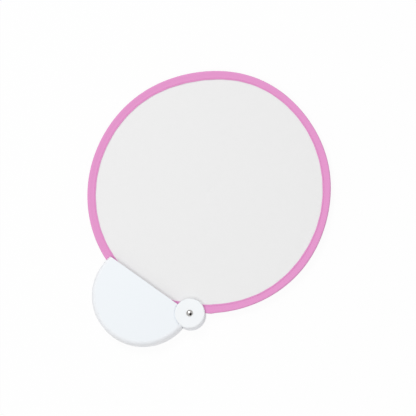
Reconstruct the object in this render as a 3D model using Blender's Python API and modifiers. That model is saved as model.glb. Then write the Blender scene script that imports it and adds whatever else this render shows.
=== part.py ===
"""Round twist-fold hand fan that swings on a half-moon pocket case, modelled piece by piece.

Units are metres and +Z is up. The case lies on its back. The origin is the centre of the case's arc,
on its back face. +X runs along the case's straight side towards the pivot, and +Y points to the fan.
"""
import math

import bmesh
import bpy
from mathutils import Matrix

# Case: two moulded shells that make a half-moon box, open along its straight side
case_radius = 0.0516            # outer radius of the arc
straight_side = 0.0117          # straight side's distance from the arc's centre
case_thickness = 0.0150
case_wall = 0.0016
case_edge_radius = 0.0034       # rounding of the outer edge, all along the arc
parting_gap = 0.0003            # line between the two shells
boss_radius = 0.0024            # bosses that line the shells up, inside the arc
boss_sink = 0.0003              # let into the wall this far, clear of its rounded edge
peg_radius = 0.0012
peg_length = 0.0030
peg_turns = (207, 267, 328)     # degrees round the arc, from +X

# Hub: one round ear on each shell, with the fan's clip turning between them on a rivet
pivot_distance = 0.04995        # rivet's distance from the arc's centre, along the straight side
pivot_inset = 0.00035           # rivet's distance inside the straight side
hub_radius = 0.0151
hub_edge_radius = 0.0011
hub_rise = 0.0006               # the front ear stands this far proud of the case
hub_inset = 0.0008              # the back ear is this far clear of the table, for the rivet's cap
groove_width = 0.0007           # narrow groove that sets the front ear off from the case's face
groove_depth = 0.0009
ear_thickness = 0.0032
running_gap = 0.0003            # between the ears and the clip
wall_clearance = 0.0005         # between the turning clip and the ends of the case's wall

# Rivet: a domed head on a shank, closed at the back by a flat cap
shank_radius = 0.0016
head_radius = 0.0033
head_height = 0.0017
head_lip = 0.0003               # straight edge under the dome
cap_radius = 0.0032
cap_floor = 0.0002
cap_recess = 0.0001             # the cap stays this far above the table
bore_gap = 0.0002
washer_radius = 0.0060
washer_thickness = 0.0008

# Fan: a steel hoop in a sewn tape, with a cloth stretched across it
rim_radius = 0.12355            # mean radius of the rim's outer edge
wave_shares = (0.0074, 0.0039, 0.0018, 0.0013, 0.0015, 0.0011)  # the rim's waves off a true circle,
wave_turns = (5.0, 45.6, -35.4, 23.6, -10.9, 9.7)   # two to seven times round; degrees from the pivot to a crest
fan_lean = math.radians(118.05)     # direction from the pivot to the fan's centre
rim_width = 0.0083
strip_width = 0.0026            # spring steel strip, measured along the pivot's axis
strip_thickness = 0.0005
tape_thickness = 0.00035
taper_shares = ((0.30, 0.76), (0.58, 0))     # across the rim, and up from leg to nose
cloth_thickness = 0.0003
snug_gap = 0.00015              # between pieces that are sewn or crimped together
cloth_tuck = 0.0020             # cloth's edge from the rim's outer edge
thread_radius = 0.0002
seam_inset = 0.0013             # stitch line from the tape's inner edge
tape_opening = 0.0140           # the tape's two ends stop this far apart, inside the clip
ferrule_length = 0.0110
ferrule_wall = 0.0003
clip_web = 0.00065              # plastic left between the rivet's bore and the rim's channel
clip_peg_radius = 0.0010
clip_peg_length = 0.0022
clip_peg_distance = 0.0095      # pegs' distance from the rivet
clip_peg_spread = math.radians(42)

# Fineness of the round shapes, and how far a cutter runs past what it cuts
arc_steps = 80
hub_steps = 48
small_steps = 24
rim_steps = 96
edge_steps = 4
flat_limit = math.radians(0.1)  # faces that lean less than this to each other are one flat
overrun = 0.0020

# Heights of the stack through the hub
hub_front = case_thickness + hub_rise
fan_plane = (hub_inset + hub_front) / 2
clip_half = (hub_front - hub_inset) / 2 - ear_thickness - running_gap
parting_plane = case_thickness / 2
pivot = (pivot_distance, straight_side - pivot_inset)

# The fan's centre, seen from the pivot
pivot_margin = shank_radius + bore_gap + clip_web + snug_gap
waves = list(enumerate(zip(wave_shares, wave_turns), 2))
pivot_side_share = sum(share * math.cos(math.radians(count * turn)) for count, (share, turn) in waves)
fan_reach = rim_radius * (1 + pivot_side_share) + pivot_margin
fan_centre = (fan_reach * math.cos(fan_lean), fan_reach * math.sin(fan_lean))

# Colours as linear RGB, then roughness and metallic
finishes = {
    "case_plastic": ((0.86, 0.88, 0.90), 0.35, 0.0),
    "hub_plastic": ((0.88, 0.89, 0.91), 0.35, 0.0),
    "bright_steel": ((0.62, 0.62, 0.62), 0.18, 1.0),
    "spring_steel": ((0.30, 0.31, 0.33), 0.35, 1.0),
    "nylon": ((0.75, 0.75, 0.72), 0.45, 0.0),
    "pink_tape": ((0.80, 0.30, 0.62), 0.85, 0.0),
    "white_cloth": ((0.83, 0.83, 0.83), 0.90, 0.0),
    "pink_thread": ((0.76, 0.30, 0.58), 0.80, 0.0),
}


def clear_scene():
    for obj in list(bpy.data.objects):
        bpy.data.objects.remove(obj, do_unlink=True)


def collection(name):
    made = bpy.data.collections.new(name)
    bpy.context.scene.collection.children.link(made)
    return made


def finish(name):
    """The material of that name, made on first use."""
    if name in bpy.data.materials:
        return bpy.data.materials[name]
    colour, roughness, metallic = finishes[name]
    material = bpy.data.materials.new(name)
    material.use_nodes = True
    shader = material.node_tree.nodes["Principled BSDF"]
    shader.inputs["Base Color"].default_value = (*colour, 1)
    shader.inputs["Roughness"].default_value = roughness
    shader.inputs["Metallic"].default_value = metallic
    return material


def place(name, mesh, where, at=(0, 0)):
    """Object of a mesh in a collection, with its origin at a point of the table plane."""
    obj = bpy.data.objects.new(name, mesh)
    obj.location = (*at, 0)
    where.objects.link(obj)
    if where == cutters:
        obj.hide_render = True
        obj.display_type = "WIRE"
    return obj


def from_bmesh(bm, name):
    bmesh.ops.recalc_face_normals(bm, faces=bm.faces)
    mesh = bpy.data.meshes.new(name)
    bm.to_mesh(mesh)
    bm.free()
    return mesh


def turned(name, profile, steps, where, at=(0, 0)):
    """A profile of (radius, height) points turned about the vertical axis through a point."""
    mesh = bpy.data.meshes.new(name)
    points = [(radius, 0, height) for radius, height in profile]
    closed = profile[0][0] > 0
    edges = [(i, i + 1) for i in range(len(points) - 1)]
    if closed:
        edges.append((len(points) - 1, 0))
    mesh.from_pydata(points, edges, [])
    obj = place(name, mesh, where, at)
    screw = obj.modifiers.new("turn", "SCREW")
    screw.steps = steps
    screw.render_steps = steps
    screw.use_merge_vertices = True
    screw.merge_threshold = overrun / 1000
    flats = obj.modifiers.new("one face for each flat", "DECIMATE")
    flats.decimate_type = "DISSOLVE"
    flats.angle_limit = flat_limit
    return obj


def cylinder(name, radius, low, high, steps, where, at=(0, 0)):
    bm = bmesh.new()
    middle = Matrix.Translation((0, 0, (low + high) / 2))
    bmesh.ops.create_cone(bm, cap_ends=True, segments=steps, radius1=radius, radius2=radius,
                          depth=high - low, matrix=middle)
    return place(name, from_bmesh(bm, name), where, at)


def box(name, low, high, where):
    bm = bmesh.new()
    size = [b - a for a, b in zip(low, high)]
    middle = [(a + b) / 2 for a, b in zip(low, high)]
    bmesh.ops.create_cube(bm, size=1, matrix=Matrix.Translation(middle) @ Matrix.Diagonal((*size, 1)))
    return place(name, from_bmesh(bm, name), where)


def combine(obj, other, operation):
    step = obj.modifiers.new(other.name, "BOOLEAN")
    step.operation = operation
    step.solver = "EXACT"
    step.object = other


def settle(obj, material, sharp=math.radians(35)):
    """Keeps the finished mesh of an object in place of its modifiers, shaded smooth between sharp edges."""
    bpy.context.view_layer.update()
    evaluated = obj.evaluated_get(bpy.context.evaluated_depsgraph_get())
    mesh = bpy.data.meshes.new_from_object(evaluated)
    mesh.name = obj.name
    obj.modifiers.clear()
    obj.data = mesh
    mesh.materials.clear()
    mesh.materials.append(finish(material))
    mesh.shade_smooth()
    mesh.set_sharp_from_angle(angle=sharp)
    return obj


def rounded_corner(radius, height, bend, start, end):
    """Points of an arc about (radius, height), turning from one angle to another."""
    turns = [start + (end - start) * i / edge_steps for i in range(edge_steps + 1)]
    return [(radius + bend * math.cos(t), height + bend * math.sin(t)) for t in turns]


# Case shells

def shell_profile(outer_face, inner_face, rim_height, way):
    """Half section of a dish, from its axis out over the outer face and back; way is 1 for the front."""
    outer_bend = rounded_corner(case_radius - case_edge_radius, outer_face - way * case_edge_radius,
                                case_edge_radius, way * math.pi / 2, 0)
    inner_bend = rounded_corner(case_radius - case_edge_radius, outer_face - way * case_edge_radius,
                                case_edge_radius - case_wall, 0, way * math.pi / 2)
    outside = [(0, outer_face)] + outer_bend + [(case_radius, rim_height)]
    inside = [(case_radius - case_wall, rim_height)] + inner_bend + [(0, inner_face)]
    profile = outside + inside
    return profile if way > 0 else profile[::-1]


def boss_places():
    """Centres of the bosses, let a little into the arc's wall."""
    distance = case_radius - case_wall - boss_radius + boss_sink
    turns = [math.radians(turn) for turn in peg_turns]
    return [(distance * math.cos(t), distance * math.sin(t)) for t in turns]


def open_the_shell(shell):
    """Cuts the straight side, the wall where the hoop lies, and the room in which the clip turns."""
    for cutter in (straight_cutter, hoop_cutter, clip_cutter, hub_well):
        combine(shell, cutter, "DIFFERENCE")


def ear_section(outer_face, inner_face, way):
    """Closed section of a round ear, with the rivet's bore and its washer's recess in the inner face."""
    bend = rounded_corner(hub_radius - hub_edge_radius, outer_face - way * hub_edge_radius,
                          hub_edge_radius, way * math.pi / 2, 0)
    bore = shank_radius + bore_gap
    recess = washer_radius + bore_gap
    floor = inner_face + way * washer_thickness
    section = [(bore, outer_face)] + bend
    section += [(hub_radius, inner_face), (recess, inner_face), (recess, floor), (bore, floor)]
    return section if way > 0 else section[::-1]


def ear(name, section):
    """Round ear about the pivot, turned a little so that none of its corners lies on the straight side."""
    made = turned(name, section, hub_steps, cutters, pivot)
    made.rotation_euler.z = hub_step / 4
    return made


def front_case_shell():
    rim = parting_plane + parting_gap / 2
    profile = shell_profile(case_thickness, case_thickness - case_wall, rim, 1)
    shell = turned("front_case_shell", profile, arc_steps, parts)
    open_the_shell(shell)
    combine(shell, hub_groove, "DIFFERENCE")
    section = ear_section(hub_front, fan_plane + clip_half + running_gap, 1)
    combine(shell, ear("front_ear", section), "UNION")
    root = case_thickness - case_wall + boss_sink
    foot = rim + parting_gap
    tip = rim - peg_length
    peg = [(0, root), (boss_radius, root), (boss_radius, foot), (peg_radius, foot), (peg_radius, tip),
           (0, tip)]
    for number, at in enumerate(boss_places(), 1):
        combine(shell, turned(f"front_boss_{number}", peg, small_steps, cutters, at), "UNION")
    return settle(shell, "case_plastic")


def back_case_shell():
    rim = parting_plane - parting_gap / 2
    shell = turned("back_case_shell", shell_profile(0, case_wall, rim, -1), arc_steps, parts)
    open_the_shell(shell)
    section = ear_section(hub_inset, fan_plane - clip_half - running_gap, -1)
    combine(shell, ear("back_ear", section), "UNION")
    hole = peg_radius + snug_gap
    top = rim - parting_gap
    floor = rim - peg_length - parting_gap
    root = case_wall - boss_sink
    socket = [(0, floor), (hole, floor), (hole, top), (boss_radius, top), (boss_radius, root),
              (0, root)]
    for number, at in enumerate(boss_places(), 1):
        combine(shell, turned(f"back_boss_{number}", socket, small_steps, cutters, at), "UNION")
    return settle(shell, "case_plastic")


# Rivet and washers

def pivot_rivet():
    """Domed head on a straight shank, whose foot sits in the cap."""
    under_head = hub_front + snug_gap
    dome_foot = under_head + head_lip
    dome_rise = head_height - head_lip
    ball = (head_radius ** 2 + dome_rise ** 2) / (2 * dome_rise)
    spread = math.asin(head_radius / ball)
    turns = [spread * i / edge_steps for i in range(edge_steps + 1)]
    dome = [(ball * math.sin(t), dome_foot + dome_rise - ball * (1 - math.cos(t))) for t in turns]
    foot = cap_recess + cap_floor + snug_gap
    shank = [(head_radius, under_head), (shank_radius, under_head), (shank_radius, foot), (0, foot)]
    return settle(turned("pivot_rivet", dome + shank, small_steps, parts, pivot), "bright_steel")


def rivet_cap():
    """Flat cup pressed on the rivet's foot, under the back ear."""
    top = hub_inset - snug_gap
    floor = cap_recess + cap_floor
    hole = shank_radius + bore_gap
    profile = [(0, floor), (hole, floor), (hole, top), (cap_radius, top), (cap_radius, cap_recess),
               (0, cap_recess)]
    return settle(turned("rivet_cap", profile, small_steps, parts, pivot), "bright_steel")


def friction_washer(name, low):
    """Nylon washer that lies in an ear's recess and drags lightly on the clip."""
    profile = [(shank_radius + bore_gap, low + washer_thickness),
               (washer_radius, low + washer_thickness), (washer_radius, low),
               (shank_radius + bore_gap, low)]
    return settle(turned(name, profile, small_steps, parts, pivot), "nylon")


# Fan: every piece is made about the pivot, and follows the same outline

def outline_share(angle):
    """Rim's outer radius as a share of its mean, at an angle from the fan's centre."""
    from_pivot = angle - fan_lean - math.pi
    return 1 + sum(share * math.cos(count * (from_pivot - math.radians(turn)))
                   for count, (share, turn) in waves)


def follow_outline(bm):
    """Moves round geometry, made about the origin, onto the hoop's outline about the fan's centre."""
    for vertex in bm.verts:
        x, y, z = vertex.co
        radius = math.hypot(x, y)
        angle = math.atan2(y, x)
        if radius > 0:
            radius += rim_radius * (outline_share(angle) - 1)
        vertex.co = (fan_centre[0] + radius * math.cos(angle),
                     fan_centre[1] + radius * math.sin(angle), z)


def along_rim(name, section, start, sweep, steps, where):
    """Sweeps a closed section of (inset, height) points along the rim, from a start angle."""
    bm = bmesh.new()
    facing = math.cos(start), math.sin(start)
    corners = []
    for inset, height in section:
        radius = rim_radius - inset
        corners.append(bm.verts.new((radius * facing[0], radius * facing[1], fan_plane + height)))
    face = bm.faces.new(corners)
    bmesh.ops.spin(bm, geom=[face, *face.edges, *face.verts], cent=(0, 0, 0), axis=(0, 0, 1),
                   dvec=(0, 0, 0), angle=sweep, steps=steps, use_merge=False,
                   use_normal_flip=False, use_duplicate=False)
    follow_outline(bm)
    return place(name, from_bmesh(bm, name), where, pivot)


def inside_outline(name, inset, low, high, where):
    """Flat plate that fills the hoop's outline, held in from the rim's outer edge by an inset."""
    bm = bmesh.new()
    radius = rim_radius - inset
    middle = Matrix.Translation((0, 0, (low + high) / 2))
    bmesh.ops.create_cone(bm, cap_ends=True, segments=rim_steps, radius1=radius, radius2=radius,
                          depth=high - low, matrix=middle)
    follow_outline(bm)
    return place(name, from_bmesh(bm, name), where, pivot)


def open_sweep(opening):
    """Start angle and sweep of a piece that runs round the rim but for an opening at the pivot."""
    half = opening / (2 * rim_radius)
    return fan_lean + math.pi + half, 2 * math.pi - 2 * half


def bar_section(inset, width, half_height):
    return [(inset, half_height), (inset + width, half_height), (inset + width, -half_height),
            (inset, -half_height)]


def tape_section():
    """Folded tape: a blunt nose round the strip, tapering to two legs that hold the cloth's edge."""
    nose = strip_width / 2 + snug_gap
    leg = cloth_thickness / 2 + snug_gap
    slot = 2 * snug_gap + strip_thickness
    inner = [(tape_thickness, strip_width / 2),
             (tape_thickness + snug_gap, nose),
             (tape_thickness + slot, nose)]
    inner += [(rim_width * across, leg + (nose - leg) * up) for across, up in taper_shares]
    inner += [(rim_width, leg)]
    outer = [(0, strip_width / 2)]
    outer += [(inset, height + tape_thickness) for inset, height in inner[1:]]
    upper = outer[::-1]
    lower = [(inset, -height) for inset, height in outer]
    inside = [(inset, -height) for inset, height in inner[::-1]] + inner
    return upper + lower + inside


def hoop():
    """Flat spring steel strip bent into a ring, its ends meeting inside the ferrule."""
    section = bar_section(tape_thickness + snug_gap, strip_thickness, strip_width / 2)
    start, sweep = open_sweep(parting_gap)
    return settle(along_rim("hoop", section, start, sweep, rim_steps, parts), "spring_steel")


def hoop_ferrule():
    """Flattened tube crimped over the hoop's two ends."""
    sweep = ferrule_length / rim_radius
    start = fan_lean + math.pi - sweep / 2
    hole_inset = tape_thickness
    hole = bar_section(hole_inset, strip_thickness + 2 * snug_gap, strip_width / 2 + snug_gap)
    body = bar_section(hole_inset - ferrule_wall, strip_thickness + 2 * (snug_gap + ferrule_wall),
                       strip_width / 2 + snug_gap + ferrule_wall)
    spare = overrun / rim_radius
    ferrule = along_rim("hoop_ferrule", body, start, sweep, edge_steps, parts)
    bore = along_rim("ferrule_bore", hole, start - spare, sweep + 2 * spare, edge_steps + 2, cutters)
    combine(ferrule, bore, "DIFFERENCE")
    return settle(ferrule, "bright_steel")


def rim_binding():
    """Woven tape folded over the hoop and the cloth's edge, its two ends hidden in the clip."""
    start, sweep = open_sweep(tape_opening)
    return settle(along_rim("rim_binding", tape_section(), start, sweep, rim_steps, parts),
                  "pink_tape")


def seam_thread(name, side):
    """One thread of the lockstitch, lying on the tape; side is 1 for the front."""
    tape_face = cloth_thickness / 2 + snug_gap + tape_thickness
    height = side * (tape_face + snug_gap + thread_radius)
    inset = rim_width - seam_inset
    turns = [math.pi * i / 2 for i in range(4)]
    section = [(inset + thread_radius * math.cos(t), height + thread_radius * math.sin(t))
               for t in turns]
    start, sweep = open_sweep(tape_opening)
    return settle(along_rim(name, section, start, sweep, rim_steps, parts), "pink_thread")


def fan_cloth():
    half = cloth_thickness / 2
    cloth = inside_outline("fan_cloth", cloth_tuck, fan_plane - half, fan_plane + half, parts)
    return settle(cloth, "white_cloth")


def clip_peg_places():
    """Pegs on the clip's outer side, to the left and right of the line from fan to pivot."""
    away = fan_lean + math.pi
    turns = [away - clip_peg_spread, away + clip_peg_spread]
    return [(pivot[0] + clip_peg_distance * math.cos(t), pivot[1] + clip_peg_distance * math.sin(t))
            for t in turns]


def clip_half_disc(name, low, high):
    """Round half of the clip, with the rivet's bore, the rim's channel and a slot for the cloth."""
    half = cylinder(name, hub_radius, low, high, hub_steps, parts, pivot)
    combine(half, bore_cutter, "DIFFERENCE")
    combine(half, rim_channel, "DIFFERENCE")
    combine(half, cloth_slot, "DIFFERENCE")
    return half


def front_clip_half():
    low = fan_plane + parting_gap / 2
    half = clip_half_disc("front_clip_half", low, fan_plane + clip_half)
    for number, at in enumerate(clip_peg_places(), 1):
        socket = cylinder(f"clip_socket_{number}", clip_peg_radius + snug_gap, low - overrun,
                          low + clip_peg_length, small_steps, cutters, at)
        combine(half, socket, "DIFFERENCE")
    return settle(half, "hub_plastic")


def back_clip_half():
    high = fan_plane - parting_gap / 2
    half = clip_half_disc("back_clip_half", fan_plane - clip_half, high)
    for number, at in enumerate(clip_peg_places(), 1):
        peg = cylinder(f"clip_peg_{number}", clip_peg_radius, high - overrun,
                       high + clip_peg_length, small_steps, cutters, at)
        combine(half, peg, "UNION")
    return settle(half, "hub_plastic")


clear_scene()
parts = collection("folding_fan")
cutters = collection("cutters")

# Cutters that several pieces share
hub_step = 2 * math.pi / hub_steps
wide = case_radius + overrun
pocket_low = case_edge_radius + running_gap
pocket_high = case_thickness - pocket_low
straight_cutter = box("straight_cutter", (-wide, straight_side, -overrun),
                      (wide, wide, case_thickness + overrun), cutters)
hoop_cutter = inside_outline("hoop_cutter", -running_gap, pocket_low, pocket_high, cutters)
clip_room = clip_half + 2 * running_gap
clip_cutter = cylinder("clip_cutter", hub_radius + wall_clearance, fan_plane - clip_room,
                       fan_plane + clip_room, hub_steps, cutters, pivot)
hub_well = cylinder("hub_well", hub_radius - hub_edge_radius - wall_clearance, -overrun,
                    hub_front + overrun, hub_steps, cutters, pivot)
hub_well.rotation_euler.z = hub_step * 3 / 4    # so that its edges lie between the ear's
groove_floor = case_thickness - groove_depth
groove_top = case_thickness + groove_depth
groove_side = hub_radius + groove_width
groove = [(hub_radius - hub_edge_radius, groove_top), (groove_side, groove_top),
          (groove_side, groove_floor), (hub_radius - hub_edge_radius, groove_floor)]
hub_groove = turned("hub_groove", groove, hub_steps, cutters, pivot)
hub_groove.rotation_euler.z = hub_step / 2
bore_cutter = cylinder("bore_cutter", shank_radius + bore_gap, -overrun, hub_front + overrun,
                       small_steps, cutters, pivot)
channel_half = strip_width / 2 + max(tape_thickness, ferrule_wall) + 2 * snug_gap
channel_sweep = 4 * hub_radius / rim_radius
rim_channel = along_rim("rim_channel",
                        bar_section(-snug_gap, rim_width + 2 * snug_gap, channel_half),
                        fan_lean + math.pi - channel_sweep / 2, channel_sweep, hub_steps // 2,
                        cutters)
cloth_slot = inside_outline("cloth_slot", rim_width, fan_plane - cloth_thickness / 2 - snug_gap,
                            fan_plane + cloth_thickness / 2 + snug_gap, cutters)

case_pieces = [
    front_case_shell(),
    back_case_shell(),
    pivot_rivet(),
    rivet_cap(),
    friction_washer("front_friction_washer", fan_plane + clip_half + running_gap / 2),
    friction_washer("back_friction_washer",
                    fan_plane - clip_half - running_gap / 2 - washer_thickness),
]
fan_pieces = [
    front_clip_half(),
    back_clip_half(),
    hoop(),
    hoop_ferrule(),
    rim_binding(),
    fan_cloth(),
    seam_thread("front_seam_thread", 1),
    seam_thread("back_seam_thread", -1),
]

# The fan swings about an empty on the rivet's axis
fan_swing = bpy.data.objects.new("fan_swing", None)
fan_swing.location = (*pivot, 0)
parts.objects.link(fan_swing)
bpy.context.view_layer.update()
for piece in fan_pieces:
    piece.parent = fan_swing
    piece.matrix_parent_inverse = fan_swing.matrix_world.inverted()
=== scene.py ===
"""Looks of a round twist-fold hand fan on its half-moon pocket case.

Units are metres and +Z is up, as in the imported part: the case lies on its back, its straight side runs
along +X to the pivot, and the open fan points to +Y.
"""

import math

import bmesh
import bpy
import numpy as np
from mathutils import Matrix, Vector


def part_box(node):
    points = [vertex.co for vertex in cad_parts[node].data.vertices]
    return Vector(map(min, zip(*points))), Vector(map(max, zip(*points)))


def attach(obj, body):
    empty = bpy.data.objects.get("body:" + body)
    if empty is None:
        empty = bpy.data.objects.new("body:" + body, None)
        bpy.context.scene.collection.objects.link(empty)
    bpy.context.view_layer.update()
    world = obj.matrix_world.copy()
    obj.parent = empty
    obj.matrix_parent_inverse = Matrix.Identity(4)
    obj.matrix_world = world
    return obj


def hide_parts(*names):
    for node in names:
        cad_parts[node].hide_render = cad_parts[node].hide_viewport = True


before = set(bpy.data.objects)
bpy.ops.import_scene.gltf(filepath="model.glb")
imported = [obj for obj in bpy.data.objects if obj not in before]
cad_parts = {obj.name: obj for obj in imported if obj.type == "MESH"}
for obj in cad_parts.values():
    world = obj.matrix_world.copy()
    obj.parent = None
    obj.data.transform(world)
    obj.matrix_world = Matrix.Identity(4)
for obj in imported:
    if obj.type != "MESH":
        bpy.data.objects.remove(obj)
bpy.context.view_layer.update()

# Case shells: two half-moon dishes of white ABS, moulded with a fine satin grain, closed on pegs. Each
# carries one round ear of the hub. The palm rubs the grain down along the arc's edge.
case_radius = 0.0516
case_edge_radius = 0.0034
pivot = np.array([0.04995, 0.01135])
hub_radius = 0.0151
ear_fade = 0.0005               # the ear is a shade whiter than the case, from just inside its edge
grain_spacing = 0.0007          # real spark grain is about 0.1 mm, drawn coarser so that it shows
grain_height = 0.000006
flow_length = 0.022             # slow drift of gloss and tone from the melt's flow
flow_low, flow_high = 0.3, 0.7  # the part of that noise which drives the gloss
rough_low, rough_high = 0.44, 0.50
rub_width = 1.5 * case_edge_radius
rub_share = 0.12                # roughness that the palm has taken off at the arc's edge
join_distance = 0.000001        # points closer than this are one corner
flat_limit = math.radians(0.2)  # faces that lean less than this to each other are one flat
sharp_limit = math.radians(32)  # an edge that bends more than this stays sharp


def linear(code):
    """Linear RGBA of an sRGB hex code such as "f1f4f9": each channel goes through the sRGB curve."""
    share = np.array([int(code[i:i + 2], 16) for i in (0, 2, 4)]) / 255
    value = np.where(share <= 0.04045, share / 12.92, ((share + 0.055) / 1.055) ** 2.4)
    return (*value.tolist(), 1.0)


def add(tree, kind, inputs, **settings):
    """Adds a shader node with its settings. Each input is a value, or the output socket it links to."""
    made = tree.nodes.new("ShaderNode" + kind)
    for name, value in settings.items():
        setattr(made, name, value)
    for socket, value in inputs.items():
        if isinstance(value, bpy.types.NodeSocket):
            tree.links.new(value, made.inputs[socket])
        else:
            made.inputs[socket].default_value = value
    return made.outputs


def new_finish(name, **values):
    """A material's name and plain values; returns the material, its nodes and its main shader."""
    material = bpy.data.materials.new(name)
    material.use_nodes = True
    shader = material.node_tree.nodes["Principled BSDF"]
    for socket, value in values.items():
        shader.inputs[socket.replace("_", " ")].default_value = value
    return material, material.node_tree, shader


def noise(tree, place, size, detail):
    """Noise whose grains are about one size across, at a place."""
    return add(tree, "TexNoise", {"Vector": place, "Scale": 1 / size, "Detail": detail})["Fac"]


def mixed(tree, factor, low, high, **settings):
    """Colour from low to high, as a factor goes from 0 to 1."""
    return add(tree, "Mix", {"Factor": factor, "A": low, "B": high}, data_type="RGBA", **settings)[2]


def feed(tree, shader, **outputs):
    """Links outputs to the main shader's inputs, whose names have underscores for their spaces."""
    for socket, output in outputs.items():
        tree.links.new(output, shader.inputs[socket.replace("_", " ")])


def dress(piece, material):
    """Gives a piece one material in place of what it had."""
    piece.data.materials.clear()
    piece.data.materials.append(material)


def smooth_copy(node, body, material):
    """Stands for a CAD node: the same shape, with its triangles joined and its facets shaded as one curve.

    A corner's normal is the mean of its faces' normals, weighted by area, so that flat faces stay flat.
    """
    joined = bmesh.new()
    joined.from_mesh(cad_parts[node].data)
    bmesh.ops.remove_doubles(joined, verts=joined.verts, dist=join_distance)
    bmesh.ops.dissolve_limit(joined, angle_limit=flat_limit, verts=joined.verts, edges=joined.edges)
    mesh = bpy.data.meshes.new("smooth_" + node)
    joined.to_mesh(mesh)
    joined.free()
    mesh.shade_smooth()
    mesh.set_sharp_from_angle(angle=sharp_limit)
    made = bpy.data.objects.new("smooth_" + node, mesh)
    bpy.context.scene.collection.objects.link(made)
    even = made.modifiers.new("even shading", "WEIGHTED_NORMAL")
    even.keep_sharp = True
    dress(made, material)
    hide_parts(node)
    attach(made, body)


satin_abs, tree, shader = new_finish("satin moulded ABS", IOR=1.53)
place = add(tree, "TexCoord", {})["Object"]
grain = noise(tree, place, grain_spacing, 2.0)
flow = noise(tree, place, flow_length, 1.5)
tone = mixed(tree, flow, linear("eef3f7"), linear("f1f5f9"))
flat_place = add(tree, "VectorMath", {0: place, 1: (1, 1, 0)}, operation="MULTIPLY")["Vector"]
from_centre = add(tree, "VectorMath", {0: flat_place}, operation="LENGTH")["Value"]
edge = add(tree, "MapRange", {"Value": from_centre, "From Min": case_radius - rub_width,
                              "From Max": case_radius})["Result"]
# Towards the arc's edge, over its last few millimetres, the white turns less blue.
edge_tinted = mixed(tree, edge, tone, linear("f1f2f5"))
from_rivet = add(tree, "VectorMath", {0: flat_place, 1: (*pivot, 0)}, operation="DISTANCE")["Value"]
ear = add(tree, "MapRange", {"Value": from_rivet, "From Min": hub_radius,
                             "From Max": hub_radius - ear_fade})["Result"]
whole = mixed(tree, ear, edge_tinted, linear("f3f6f8"))
rub = add(tree, "Math", {0: edge, 1: rub_share}, operation="MULTIPLY")["Value"]
unrubbed = add(tree, "MapRange", {"Value": flow, "From Min": flow_low, "From Max": flow_high,
                                  "To Min": rough_low, "To Max": rough_high})["Result"]
rough = add(tree, "Math", {0: unrubbed, 1: rub}, operation="SUBTRACT")["Value"]
relief = add(tree, "Bump", {"Height": grain, "Distance": grain_height, "Strength": 1.0})
feed(tree, shader, Base_Color=whole, Roughness=rough, Normal=relief["Normal"])
for name in ("front_case_shell", "back_case_shell"):
    smooth_copy(name, "case", satin_abs)

# Clip: two round halves between the ears that hold the rim and turn on the rivet. They are of the same
# ABS, from a smoother mould, because their faces slide.
wear_size = 0.003               # patches that the sliding has polished


def between(tree, value, low, high):
    """Number from low to high, as a value goes from 0 to 1."""
    return add(tree, "MapRange", {"Value": value, "To Min": low, "To Max": high})["Result"]


smooth_abs, tree, shader = new_finish("smooth moulded ABS", IOR=1.53)
wear = noise(tree, add(tree, "TexCoord", {})["Object"], wear_size, 3.0)
feed(tree, shader, Base_Color=mixed(tree, wear, linear("e9ecf1"), linear("eff1f5")),
     Roughness=between(tree, wear, 0.26, 0.38))
for name in ("front_clip_half", "back_clip_half"):
    smooth_copy(name, "fan", smooth_abs)

# Friction washers: natural nylon, slightly translucent to the eye and waxy.
wax_size = 0.0015               # cloudy patches of the moulded nylon

nylon, tree, shader = new_finish("natural nylon", IOR=1.53, Subsurface_Weight=0.2, Subsurface_Scale=0.001)
wax = noise(tree, add(tree, "TexCoord", {})["Object"], wax_size, 2.0)
feed(tree, shader, Base_Color=mixed(tree, wax, linear("dcdad0"), linear("e6e4dc")),
     Roughness=between(tree, wax, 0.38, 0.5))
for name in ("front_friction_washer", "back_friction_washer"):
    dress(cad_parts[name], nylon)

# Rivet: nickel-plated steel with a polished dome, set from the front through both ears. Its foot is
# closed in a flat cap of the same metal.
head_radius = 0.0033
shank_radius = 0.0016
head_low, head_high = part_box("pivot_rivet")[0].z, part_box("pivot_rivet")[1].z
head_height = 0.0017
lip_height = 0.0004
dome_share = 0.985              # the ball's cap ends at this share of the head's radius, in the lip
dome_start = 0.02               # innermost ring of the dome, as a share of its spread
dome_rings, lip_rings = 22, 8
turn_steps = 72
handling_size = 0.0012          # faint patches that fingers leave on the plate


def skin_faces(rows, columns, ends):
    """Quads between neighbouring rings of points, and one face over each ring that ends names: 0 or -1."""
    index = np.arange(rows * columns).reshape(rows, columns)
    ring = np.hstack([index, index[:, :1]])
    corners = ring[:-1, :-1], ring[:-1, 1:], ring[1:, 1:], ring[1:, :-1]
    over = {0: index[0, ::-1].tolist(), -1: index[-1].tolist()}
    return np.stack(corners, axis=-1).reshape(-1, 4).tolist() + [over[end] for end in ends]


def piece_of(name, points, faces, material):
    """Smooth-shaded object at the origin, made of points and faces with their normals outwards."""
    mesh = bpy.data.meshes.new(name)
    mesh.from_pydata(points.reshape(-1, 3), [], faces)
    mesh.update()
    mesh.shade_smooth()
    made = bpy.data.objects.new(name, mesh)
    bpy.context.scene.collection.objects.link(made)
    dress(made, material)
    return made


def turned(profile, about):
    """Points of a profile of (radius, height) turned about an upright axis: x = r cos t, y = r sin t."""
    t = np.arange(turn_steps) * 2 * math.pi / turn_steps
    radius, height = profile[:, :1], profile[:, 1:]
    return np.stack([about[0] + radius * np.cos(t), about[1] + radius * np.sin(t),
                     np.broadcast_to(height, (len(profile), turn_steps))], axis=-1)


def closed_turning(name, profile, about, material):
    """Turned solid whose profile starts and ends near the axis; each end is closed by one face."""
    faces = skin_faces(len(profile), turn_steps, (0, -1))
    return piece_of(name, turned(profile, about), faces, material)


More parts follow.
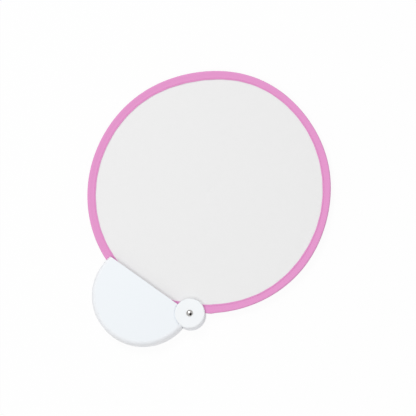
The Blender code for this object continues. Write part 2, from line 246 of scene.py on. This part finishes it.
# The head is a ball's cap on a short rounded lip; the shank runs down from under it.
u = np.linspace(dome_start, 1, dome_rings)
dome_rise = head_height - lip_height
ball = (head_radius ** 2 + dome_rise ** 2) / (2 * dome_rise)
spread = math.asin(dome_share * head_radius / ball)
dome = np.stack([ball * np.sin(spread * u), head_high - ball * (1 - np.cos(spread * u))], axis=1)
v = np.linspace(0, math.pi, lip_rings + 1)[1:]
lip_half = (dome[-1, 1] - (head_high - head_height)) / 2
lip = np.stack([dome[-1, 0] + (head_radius - dome[-1, 0]) * np.sin(v),
                dome[-1, 1] - lip_half * (1 - np.cos(v))], axis=1)
shank = np.array([[shank_radius, head_high - head_height], [shank_radius, head_low]])
profile = np.vstack([dome, lip, shank])[::-1]

nickel, tree, shader = new_finish("polished nickel plate", Metallic=1.0)
handling = noise(tree, add(tree, "TexCoord", {})["Object"], handling_size, 4.0)
feed(tree, shader, Base_Color=mixed(tree, handling, linear("e3e1de"), linear("ebe9e6")),
     Roughness=between(tree, handling, 0.06, 0.16))
rivet = closed_turning("domed_rivet", profile, pivot, nickel)
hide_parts("pivot_rivet")
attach(rivet, "case")
smooth_copy("rivet_cap", "case", nickel)

# Hoop: a strip of blued spring steel, bent into a ring on edge and held in a crimped ferrule. Rolling
# leaves fine lines along the strip.
rim_radius = 0.12355
wave_shares = np.array([0.0074, 0.0039, 0.0018, 0.0013, 0.0015, 0.0011])
wave_turns = np.radians([5.0, 45.6, -35.4, 23.6, -10.9, 9.7])
wave_counts = np.arange(2, 8)
fan_lean = math.radians(118.05)
pivot_margin = 0.0026           # from the rivet's axis to the rim's outer edge
tape_opening = 0.0140           # the tape's ends stop this far apart, inside the clip
fan_reach = rim_radius * (1 + float(wave_shares @ np.cos(wave_counts * wave_turns))) + pivot_margin
fan_centre = pivot + fan_reach * np.array([math.cos(fan_lean), math.sin(fan_lean)])
fan_plane = (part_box("fan_cloth")[0].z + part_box("fan_cloth")[1].z) / 2

line_length = 0.004             # of a rolling line, which is this many times finer across the strip
line_fineness = 40

blued, tree, shader = new_finish("blued spring steel", Metallic=1.0)
place = add(tree, "TexCoord", {})["Object"]
drawn = add(tree, "Mapping", {"Vector": place, "Scale": (1, 1, line_fineness)})["Vector"]
lines = noise(tree, drawn, line_length, 3.0)
feed(tree, shader, Base_Color=mixed(tree, lines, linear("4a4f5c"), linear("6b707c")),
     Roughness=between(tree, lines, 0.25, 0.42))
dress(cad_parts["hoop"], blued)

# Ferrule: a flattened sleeve of zinc-plated steel over the strip's two ends.
spangle_size = 0.0008           # crystals of the plate

zinc, tree, shader = new_finish("zinc plated steel", Metallic=1.0)
place = add(tree, "TexCoord", {})["Object"]
spangle = add(tree, "TexVoronoi", {"Vector": place, "Scale": 1 / spangle_size})["Distance"]
feed(tree, shader, Base_Color=mixed(tree, spangle, linear("b4b8bb"), linear("c9cccf")),
     Roughness=between(tree, spangle, 0.3, 0.45))
dress(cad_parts["hoop_ferrule"], zinc)

# Cloth: a disc of plain-woven white polyester, cut round and sewn in under tension. It is matt, a little
# translucent, and pulls very slightly at each part of the seam.
cloth_inset = 0.0022            # its edge, from the rim's outer edge
cloth_thickness = 0.00015
thread_spacing = 0.0007         # real threads are about 0.15 mm apart, drawn coarser so that they show
thread_height = 0.00002
slub_size = 0.006               # thicker and thinner places in the yarn
slub_shade = 0.985              # and how much darker the cloth is there
swell_height = 0.00016
pucker_height = 0.00007
pucker_count = 73
pucker_power = 24               # keeps the puckers to the cloth's edge
centre_share = 0.004            # the innermost ring's share of the radius
cloth_rings, cloth_spokes = 72, 240


def ripple(tree, value):
    """Rounded ridges along a value: its sine, with no sign."""
    sine = add(tree, "Math", {0: value}, operation="SINE")["Value"]
    return add(tree, "Math", {0: sine}, operation="ABSOLUTE")["Value"]


def rim_line(angle, inset):
    """Points of the hoop's outline, r = R (1 + sum of a cos n(t - t0)) - inset, with t from the pivot."""
    turn = angle - fan_lean - math.pi
    waves = zip(wave_counts, wave_shares, wave_turns)
    radius = rim_radius * (1 + sum(share * np.cos(n * (turn - crest)) for n, share, crest in waves)) - inset
    return fan_centre[0] + radius * np.cos(angle), fan_centre[1] + radius * np.sin(angle)


def cloth_height(share, angle):
    """Height over the fan's plane: slow swells in the middle, and small puckers that grow at the seam."""
    swell = swell_height * (1 - share ** 2) * np.cos(2 * angle + 5 * share)
    pucker = pucker_height * share ** pucker_power * np.cos(pucker_count * angle)
    return swell + pucker


share = np.linspace(1, centre_share, cloth_rings)[:, None]
angle = np.arange(cloth_spokes)[None, :] * 2 * math.pi / cloth_spokes
edge_x, edge_y = rim_line(angle, cloth_inset)
points = np.stack([fan_centre[0] + share * (edge_x - fan_centre[0]),
                   fan_centre[1] + share * (edge_y - fan_centre[1]),
                   fan_plane + cloth_height(share, angle)], axis=-1)
faces = skin_faces(cloth_rings, cloth_spokes, (-1,))

polyester, tree, shader = new_finish("plain-woven polyester", IOR=1.5, Roughness=0.9,
                                     Specular_IOR_Level=0.25, Sheen_Weight=0.08, Sheen_Roughness=0.5)
place = add(tree, "TexCoord", {})["Object"]
turn = add(tree, "Mapping", {"Vector": place, "Rotation": (0, 0, fan_lean)})["Vector"]
threads = add(tree, "VectorMath", {0: turn, "Scale": math.pi / thread_spacing}, operation="SCALE")
along = add(tree, "SeparateXYZ", {"Vector": threads["Vector"]})
warp, weft = ripple(tree, along["X"]), ripple(tree, along["Y"])
over = add(tree, "TexChecker", {"Vector": turn, "Scale": 1 / thread_spacing})["Fac"]
weave = add(tree, "Mix", {"Factor": over, "A": warp, "B": weft})[0]
slub = noise(tree, turn, slub_size, 3.0)
# The white is painted a little darker where the threads dip: painted shade between the threads.
tone = mixed(tree, weave, linear("ececec"), linear("f2f2f2"))
drift = mixed(tree, slub, (slub_shade, slub_shade, slub_shade, 1), (1, 1, 1, 1))
colour = mixed(tree, 1.0, tone, drift, blend_type="MULTIPLY")
relief = add(tree, "Bump", {"Height": weave, "Distance": thread_height, "Strength": 0.6})
feed(tree, shader, Base_Color=colour, Normal=relief["Normal"])
cloth = piece_of("stretched_cloth", points, faces, polyester)
thickness = cloth.modifiers.new("cloth thickness", "SOLIDIFY")
thickness.thickness = cloth_thickness
thickness.offset = 0
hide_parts("fan_cloth")
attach(cloth, "fan")

# Binding: pink woven polyester tape, folded over the hoop and the cloth's edge and sewn through, so that
# it is full round the steel, thin at its inner edge, and drawn in at every stitch.
rim_width = 0.0083
tape_thickness = 0.00030
nose_height = 0.00172           # half of the tape's thickness round the hoop
leg_height = 0.00062            # and at its inner edge
seam_inset = 0.0070             # stitch line, from the rim's outer edge
stitch_pitch = 0.0026
nose_length = 0.0011            # rounded part of the fold, from the rim's outer edge
step_length = 0.0050            # and the slope behind it, down to the leg
nose_power = 0.8                # makes the nose a little squarer than a half circle
leg_points, nose_points = 15, 11
skin_width = 0.0205             # one face of the tape, round the fold
draw_height = 0.00008           # each stitch draws the tape in this far,
draw_spread = 0.0009            # over this much of its width
waver_height, waver_count = 0.00008, 41     # the inner edge wavers a little, all the way round
tape_steps = 4                  # points for each stitch, along the tape
rib_spacing = 0.0007            # drawn coarser than real ribs, so that they show
rib_height = 0.00003
width_waves = (0.00032, 0.00020, 0.00018, 0.00021, 0.00006, 0.00016, 0.00016, 0.00011)
width_crests = np.radians([-170, -17, 16, -43, -21, 4, -4, -4.5])
bulge_height = 0.0006           # the clip squeezes the tape, which bulges outwards beside it
bulge_place, bulge_spread = 0.0200, 0.0036
bulge_fade = 0.75               # share of the bulge that is gone at the tape's inner edge
first = fan_lean + math.pi + tape_opening / 2 / rim_radius
sweep = 2 * math.pi - tape_opening / rim_radius
stitches = round(sweep * rim_radius / stitch_pitch)


def folded_inset(angle, inset):
    """Inset on the sewn tape: its width swells in waves, sum of a cos n(t - t0), and bulges at the clip."""
    across = inset / rim_width
    waves = zip(width_waves, width_crests)
    wider = sum(height * np.cos(n * (angle - crest)) for n, (height, crest) in enumerate(waves, 1))
    from_pivot = np.abs((angle - fan_lean) % (2 * math.pi) - math.pi) * rim_radius
    bulge = bulge_height * np.exp(-((from_pivot - bulge_place) / bulge_spread) ** 2)
    return inset + wider * across ** 2 - bulge * (1 - bulge_fade * across)


def tape_height(inset):
    """Half thickness at an inset: level round the hoop, then a smooth step down to the inner edge."""
    down = np.clip((inset - nose_length) / step_length, 0, 1)
    return leg_height + (nose_height - leg_height) * (1 - down * down * (3 - 2 * down))


def tape_skin(depth):
    """Section of the tape's skin at a depth under its face: front edge, round the nose, back edge."""
    leg = np.linspace(rim_width, nose_length, leg_points)
    bend = np.linspace(0, math.pi, nose_points + 2)[1:-1]
    nose_inset = depth + (nose_length - depth) * (1 - np.sin(bend) ** nose_power)
    nose_z = (nose_height - depth) * np.sign(np.cos(bend)) * np.abs(np.cos(bend)) ** nose_power
    front = np.stack([leg, tape_height(leg) - depth], axis=1)
    nose = np.stack([nose_inset, nose_z], axis=1)
    back = front[::-1] * (1, -1)
    return np.vstack([front, nose, back])


outer, inner = tape_skin(0), tape_skin(tape_thickness)[::-1]
section = np.vstack([outer, inner])
across = np.concatenate([np.linspace(0, skin_width, len(outer)), np.linspace(skin_width, 0, len(inner))])
steps = np.arange(stitches * tape_steps + 1)
along = steps * sweep * rim_radius / steps[-1]
angle = first + steps * sweep / steps[-1]
near_seam = np.exp(-((section[:, 0] - seam_inset) / draw_spread) ** 2) * np.sign(section[:, 1])
draw = draw_height * (0.5 + 0.5 * np.cos(2 * math.pi * along / (sweep * rim_radius) * stitches))
waver = waver_height * np.sin(waver_count * angle)
inset = section[None, :, 0] + waver[:, None] * (section[None, :, 0] / rim_width) ** 2
x, y = rim_line(angle[:, None], folded_inset(angle[:, None], inset))
z = fan_plane + section[None, :, 1] - draw[:, None] * near_seam[None, :]
points = np.stack([x, y, z], axis=-1)
rows, columns = points.shape[:2]
faces = skin_faces(rows, columns, (0, -1))

tape_weave, tree, shader = new_finish("woven polyester tape", IOR=1.5, Roughness=0.85,
                                      Specular_IOR_Level=0.3, Sheen_Weight=0.12, Sheen_Roughness=0.4)
lengths = add(tree, "Attribute", {}, attribute_name="tape_run")["Vector"]
runs = add(tree, "SeparateXYZ", {"Vector": lengths})
rib = add(tree, "Math", {0: runs["X"], 1: math.pi / rib_spacing}, operation="MULTIPLY")["Value"]
cord = add(tree, "Math", {0: runs["Y"], 1: math.pi / rib_spacing}, operation="MULTIPLY")["Value"]
over = add(tree, "TexChecker", {"Vector": lengths, "Scale": 1 / rib_spacing})["Fac"]
weave = add(tree, "Mix", {"Factor": over, "A": ripple(tree, rib), "B": ripple(tree, cord)})[0]
relief = add(tree, "Bump", {"Height": weave, "Distance": rib_height, "Strength": 0.7})
# The pink is painted darker where the ribs dip: painted shade between them.
feed(tree, shader, Base_Color=mixed(tree, weave, linear("e093c8"), linear("ed9ed4")),
     Normal=relief["Normal"])
tape = piece_of("folded_tape", points, faces, tape_weave)
run = np.zeros((rows, columns, 3), np.float32)
run[..., 0] = along[:, None]
run[..., 1] = across[None, :]
tape.data.attributes.new("tape_run", "FLOAT_VECTOR", "POINT").data.foreach_set("vector", run.ravel())
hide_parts("rim_binding")
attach(tape, "fan")

# Seam: a lockstitch of pink polyester thread through tape and cloth. On each side the thread lies on
# the tape for one stitch, and dips into the needle's hole at both of its ends.
thread_radius = 0.00019
thread_sides = 8
stitch_steps = 12
twist_length = 0.0008           # one turn of the thread's plies
ply_height = 0.00003
hole_depth = 0.00034            # the thread's middle starts this far under the tape's face, in the hole,
stitch_rise = 0.00048           # and rises by this much in the middle of a stitch
stitch_power = 0.45             # makes it rise steeply at the hole and lie flat between
bedding = 0.00004               # the thread beds this far into the tape's face

dyed_thread, tree, shader = new_finish("polyester sewing thread", IOR=1.5, Roughness=0.6,
                                       Sheen_Weight=0.1)
lengths = add(tree, "Attribute", {}, attribute_name="thread_run")["Vector"]
runs = add(tree, "SeparateXYZ", {"Vector": lengths})
twist = add(tree, "Math", {0: runs["X"], 1: 2 * math.pi / twist_length, 2: runs["Y"]},
            operation="MULTIPLY_ADD")["Value"]
ply = ripple(tree, twist)
relief = add(tree, "Bump", {"Height": ply, "Distance": ply_height, "Strength": 0.8})
# The pink is painted darker in the grooves between the plies: painted shade.
feed(tree, shader, Base_Color=mixed(tree, ply, linear("cf7db6"), linear("e793cd")),
     Normal=relief["Normal"])

steps = np.arange(stitches * stitch_steps + 1)
angle = first + steps * sweep / steps[-1]
along = steps * sweep * rim_radius / steps[-1]
phase = math.pi * steps / stitch_steps
lift = np.abs(np.sin(phase)) ** stitch_power
seat = float(tape_height(np.array(seam_inset))) - bedding
round_thread = np.arange(thread_sides) * 2 * math.pi / thread_sides
for name, node, side in (("front_stitches", "front_seam_thread", 1),
                         ("back_stitches", "back_seam_thread", -1)):
    middle = seat - hole_depth + stitch_rise * lift
    inset = seam_inset + thread_radius * np.cos(round_thread)[None, :] * np.ones((len(steps), 1))
    x, y = rim_line(angle[:, None], folded_inset(angle[:, None], inset))
    z = fan_plane + side * (middle[:, None] + thread_radius * np.sin(round_thread)[None, :])
    points = np.stack([x, y, z], axis=-1)
    rows = len(steps)
    faces = skin_faces(rows, thread_sides, (0, -1))
    if side < 0:
        faces = [face[::-1] for face in faces]
    seam = piece_of(name, points, faces, dyed_thread)
    run = np.zeros((rows, thread_sides, 3), np.float32)
    run[..., 0] = along[:, None]
    run[..., 1] = round_thread[None, :]
    seam.data.attributes.new("thread_run", "FLOAT_VECTOR", "POINT").data.foreach_set("vector", run.ravel())
    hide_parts(node)
    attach(seam, "fan")

# Floor: a plain white table top. It shows white to the camera and in the metal, and keeps a soft shadow.
floor_half = 3.0
floor_drop = 0.0001             # keeps it clear of the case's back
floor_white = 0.94              # how white it shows where it is seen and not lit


def flat_sheet(name, half_x, half_y):
    """Rectangle about the origin that faces up, from its half lengths along x and y."""
    mesh = bpy.data.meshes.new(name)
    corners = [(-half_x, -half_y, 0), (half_x, -half_y, 0), (half_x, half_y, 0), (-half_x, half_y, 0)]
    mesh.from_pydata(corners, [], [(0, 1, 2, 3)])
    return bpy.data.objects.new(name, mesh)


floor = flat_sheet("floor", floor_half, floor_half)
floor.location.z = -floor_drop
bpy.context.scene.collection.objects.link(floor)
table_top, tree, shader = new_finish("matt white table top", Roughness=1.0, Specular_IOR_Level=0.0)
shader.inputs["Base Color"].default_value = linear("f4f4f4")
ray = add(tree, "LightPath", {})
seen = add(tree, "Math", {0: ray["Is Camera Ray"], 1: ray["Is Glossy Ray"]}, operation="MAXIMUM")["Value"]
seen = add(tree, "Math", {0: seen, 1: ray["Is Transmission Ray"]}, operation="MAXIMUM")["Value"]
white = add(tree, "Emission", {"Color": (1, 1, 1, 1), "Strength": 1.0})["Emission"]
share_of_white = add(tree, "Math", {0: seen, 1: floor_white}, operation="MULTIPLY")["Value"]
surface = add(tree, "MixShader", {0: share_of_white, 1: shader.outputs["BSDF"], 2: white})["Shader"]
tree.links.new(surface, tree.nodes["Material Output"].inputs["Surface"])
dress(floor, table_top)

# Light: an even white studio with two soft lamps, both over 60 degrees up: one at the upper left of the
# picture and one below it. A dark screen, which only gloss sees, stands at the lower right for the rivet.
picture_turn = math.radians(35.82)       # the picture's x axis, from +X
reach = 1.65                             # of the lamps and the screen, from what they are aimed at
aim = Vector((0, 0.1, 0))
studio_level = 0.515                     # of the walls' light. The camera sees them as full white
screen_half_x, screen_half_y = 0.9, 0.7
world = bpy.data.worlds.new("studio")
bpy.context.scene.world = world
world.use_nodes = True
tree = world.node_tree
background = tree.nodes["Background"]
ray = add(tree, "LightPath", {})
level = add(tree, "Mix", {"Factor": ray["Is Camera Ray"], "A": studio_level, "B": 1.0})[0]
tree.links.new(level, background.inputs["Strength"])
background.inputs["Color"].default_value = (1, 1, 1, 1)


def stand(thing, turn, height):
    """Puts a lamp or screen at the studio's reach, at a turn in the picture and an angle of height."""
    turn, height = math.radians(turn) + picture_turn, math.radians(height)
    out = Vector((math.cos(height) * math.cos(turn), math.cos(height) * math.sin(turn), math.sin(height)))
    thing.location = aim + reach * out
    thing.rotation_euler = (-out).to_track_quat("-Z", "Y").to_euler()
    bpy.context.scene.collection.objects.link(thing)


for name, turn, height, size, power, in_gloss in (("main lamp", 122, 62, 0.6, 9.0, True),
                                                  ("second lamp", 259, 63, 0.6, 5.7, False)):
    lamp = bpy.data.lights.new(name, "AREA")
    lamp.size, lamp.energy = size, power
    lamp_stand = bpy.data.objects.new(name, lamp)
    lamp_stand.visible_glossy = in_gloss
    stand(lamp_stand, turn, height)

screen = flat_sheet("dark_screen", screen_half_x, screen_half_y)
black_felt, tree, shader = new_finish("black felt", Base_Color=linear("101010"), Roughness=1.0,
                                      Specular_IOR_Level=0.0)
dress(screen, black_felt)
stand(screen, -49, 58)
screen.visible_camera = False
screen.visible_diffuse = False
screen.visible_shadow = False

# Camera: 3.47 m off with a long lens, leaning off the upright to the picture's lower right. The lean is a
# compromise: the outlines of the case alone ask for about 16.5 degrees, and a round rim for about 13.4.
lean_of_view = math.radians(14)
lean_direction = math.radians(-64)
focal_length, sensor_width = 0.300, 0.036
view_width = 0.416                       # what the picture spans at the target, 1 mm for each pixel
distance = focal_length * view_width / sensor_width
target = Vector((-0.0002, 0.1087, 0.0080))
sideways = Vector((math.cos(lean_direction), math.sin(lean_direction), 0))
axis = Vector((0, 0, 1)).cross(sideways)
turn = Matrix.Rotation(picture_turn, 4, "Z") @ Matrix.Rotation(lean_of_view, 4, axis)
lens = bpy.data.cameras.new("camera")
lens.lens = focal_length * 1000
lens.sensor_width = sensor_width * 1000
lens.clip_start, lens.clip_end = 0.1, 30
camera = bpy.data.objects.new("camera", lens)
camera.matrix_world = Matrix.Translation(target + turn.to_3x3() @ Vector((0, 0, distance))) @ turn
bpy.context.scene.collection.objects.link(camera)
bpy.context.scene.camera = camera
bpy.context.scene.view_settings.view_transform = "Standard"
